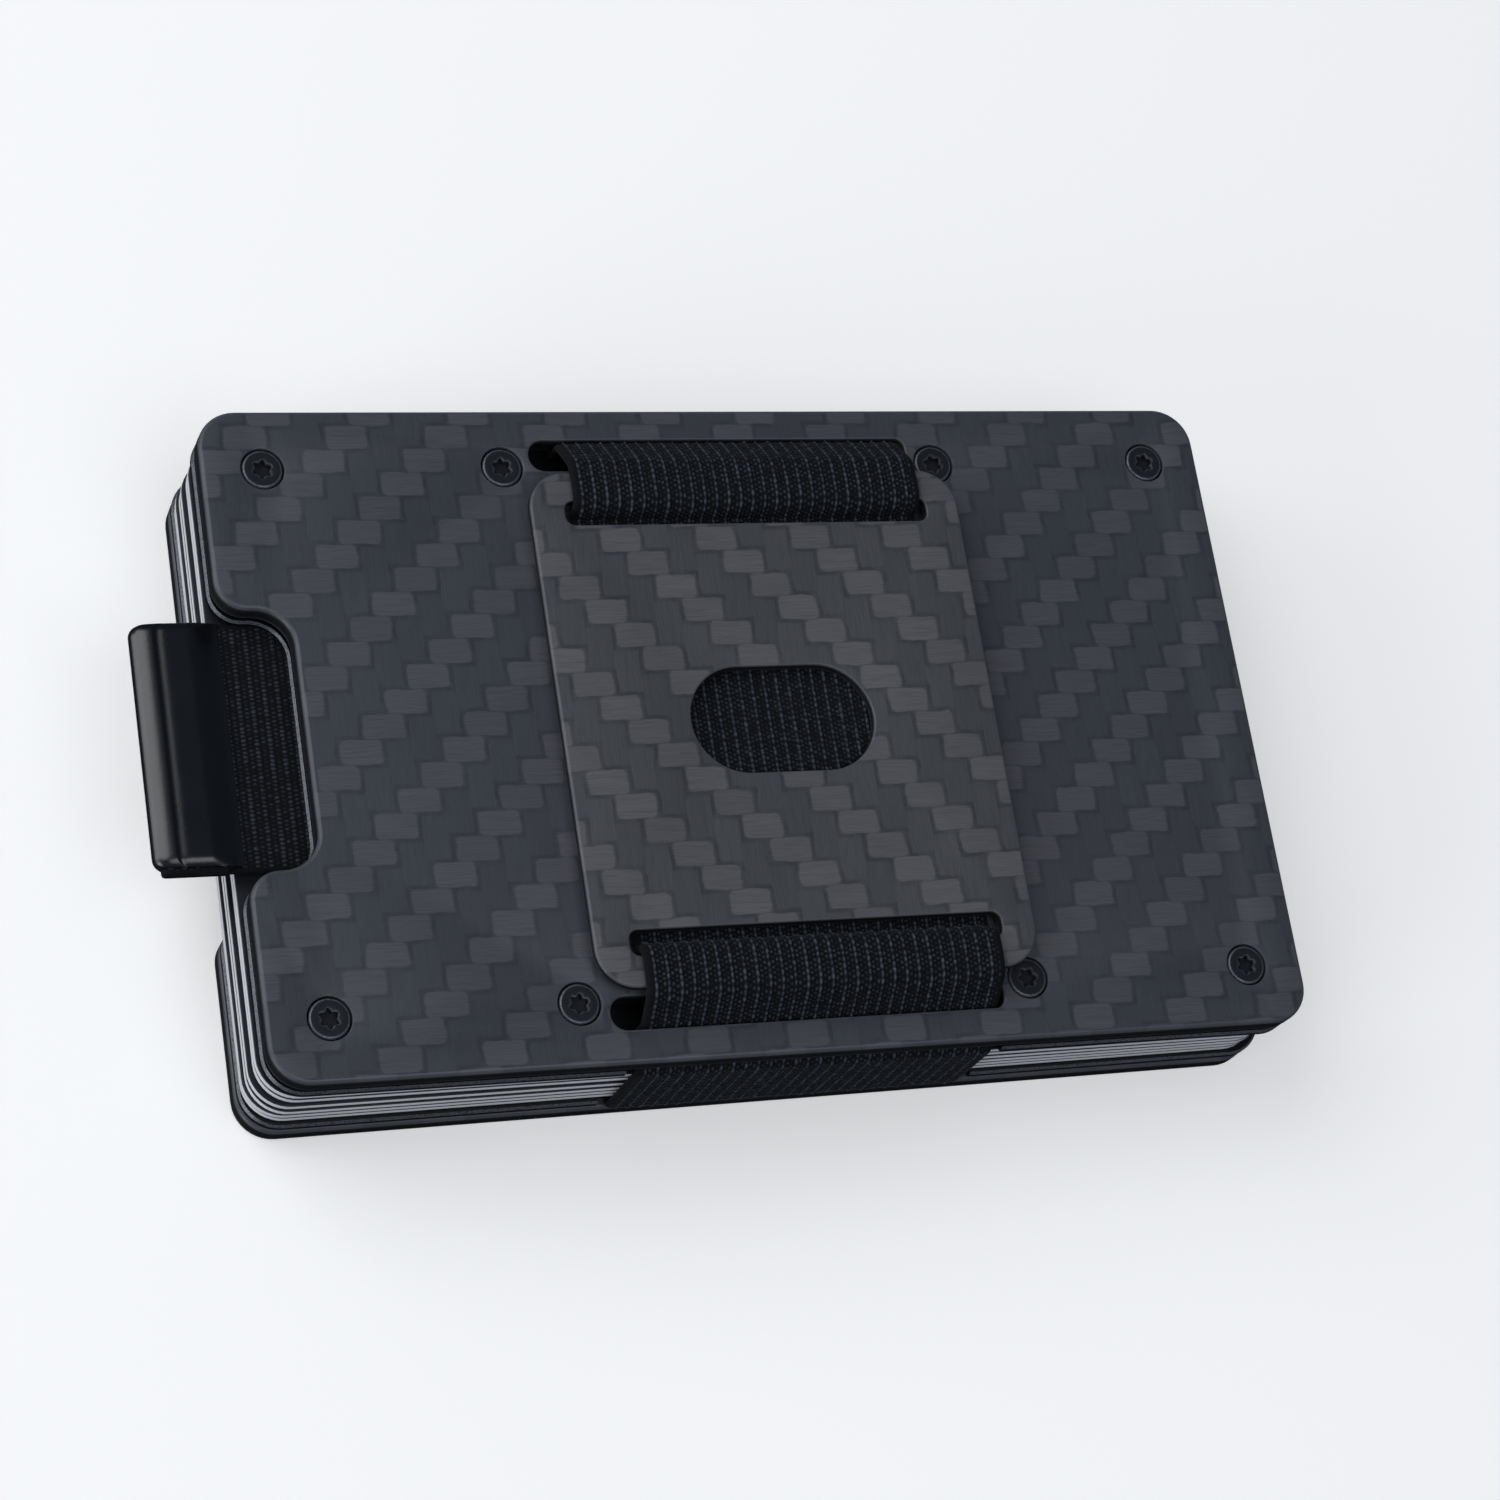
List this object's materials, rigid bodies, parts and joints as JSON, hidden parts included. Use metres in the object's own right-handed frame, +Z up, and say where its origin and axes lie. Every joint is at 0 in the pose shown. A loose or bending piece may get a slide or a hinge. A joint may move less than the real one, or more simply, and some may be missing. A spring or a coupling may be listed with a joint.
{
  "type": "minimalist wallet",
  "caption": "Slim card wallet: rigid panels clamp a fanned stack of cards, held by elastic webbing that also carries a plate money clip, with a ribbon pull tab.",
  "frame": {"origin": "centre of the back panel's outer face, on which the wallet rests", "axes": "+X along the panels to the closed end, -X towards the thumb notch and pull tab, +Y across the panels, +Z up through the cards to the money clip"},
  "size_m": [0.0928, 0.0556, 0.0175],
  "materials": {
    "carbon_fibre": "2/2 twill carbon laminate, satin",
    "black_anodised_plate": "black anodised aluminium sheet",
    "black_oxide_steel": "black oxide screws, slightly worn",
    "steel_hardware": "plain steel",
    "elastic_webbing": "ribbed black elastic webbing",
    "pull_ribbon": "woven black ribbon with flecked rows",
    "tab_moulding": "smooth black moulding, satin gloss",
    "card_pvc": "blank white laminated card"
  },
  "bodies": {
    "back_panel": {"back_outer_plate": "carbon_fibre", "back_inner_plate": "black_anodised_plate", "back_screws": "black_oxide_steel", "back_standoffs": "steel_hardware", "elastic_back_run": "elastic_webbing", "elastic_side_run_near": "elastic_webbing", "elastic_side_run_far": "elastic_webbing", "ribbon_bottom_run": "pull_ribbon", "ribbon_anchor_bar": "steel_hardware"},
    "front_panel": {"front_outer_plate": "carbon_fibre", "front_inner_plate": "black_anodised_plate", "front_screws": "black_oxide_steel", "front_standoffs": "steel_hardware", "elastic_front_run_near": "elastic_webbing", "elastic_front_run_far": "elastic_webbing", "elastic_clip_span_near": "elastic_webbing", "elastic_clip_span_far": "elastic_webbing"},
    "money_clip": {"clip_plate": "carbon_fibre", "elastic_clip_turn_near": "elastic_webbing", "elastic_clip_turn_far": "elastic_webbing", "elastic_under_clip": "elastic_webbing"},
    "card_stack": {"card_1": "card_pvc", "card_2": "card_pvc", "card_3": "card_pvc", "card_4": "card_pvc", "card_5": "card_pvc", "card_6": "card_pvc", "ribbon_end_loop": "pull_ribbon"},
    "pull_tab": {"pull_tab_cover": "tab_moulding", "ribbon_folded_end": "pull_ribbon", "ribbon_top_run": "pull_ribbon"}
  },
  "joints": [
    {"name": "front_panel_lift", "type": "slide", "parent": "back_panel", "child": "front_panel", "axis": [0, 0, 1], "range_m": [0, 0.0045], "stiffness_N_per_m": 900, "springref_m": -0.009, "deforming": ["elastic_side_run_near", "elastic_side_run_far"]},
    {"name": "money_clip_lift", "type": "slide", "parent": "front_panel", "child": "money_clip", "axis": [0, 0, 1], "range_m": [0, 0.003], "stiffness_N_per_m": 500, "springref_m": -0.006, "deforming": ["elastic_clip_span_near", "elastic_clip_span_far"]},
    {"name": "card_slide", "type": "slide", "parent": "back_panel", "child": "card_stack", "axis": [-0.9998, 0, 0.0175], "range_m": [0, 0.02]},
    {"name": "pull_tab_slide", "type": "slide", "parent": "card_stack", "child": "pull_tab", "axis": [-0.9994, 0, 0.0349], "range_m": [0, 0.02]}
  ],
  "couplings": [
    {"joint": "pull_tab_slide", "follows": "card_slide", "ratio": 1}
  ]
}
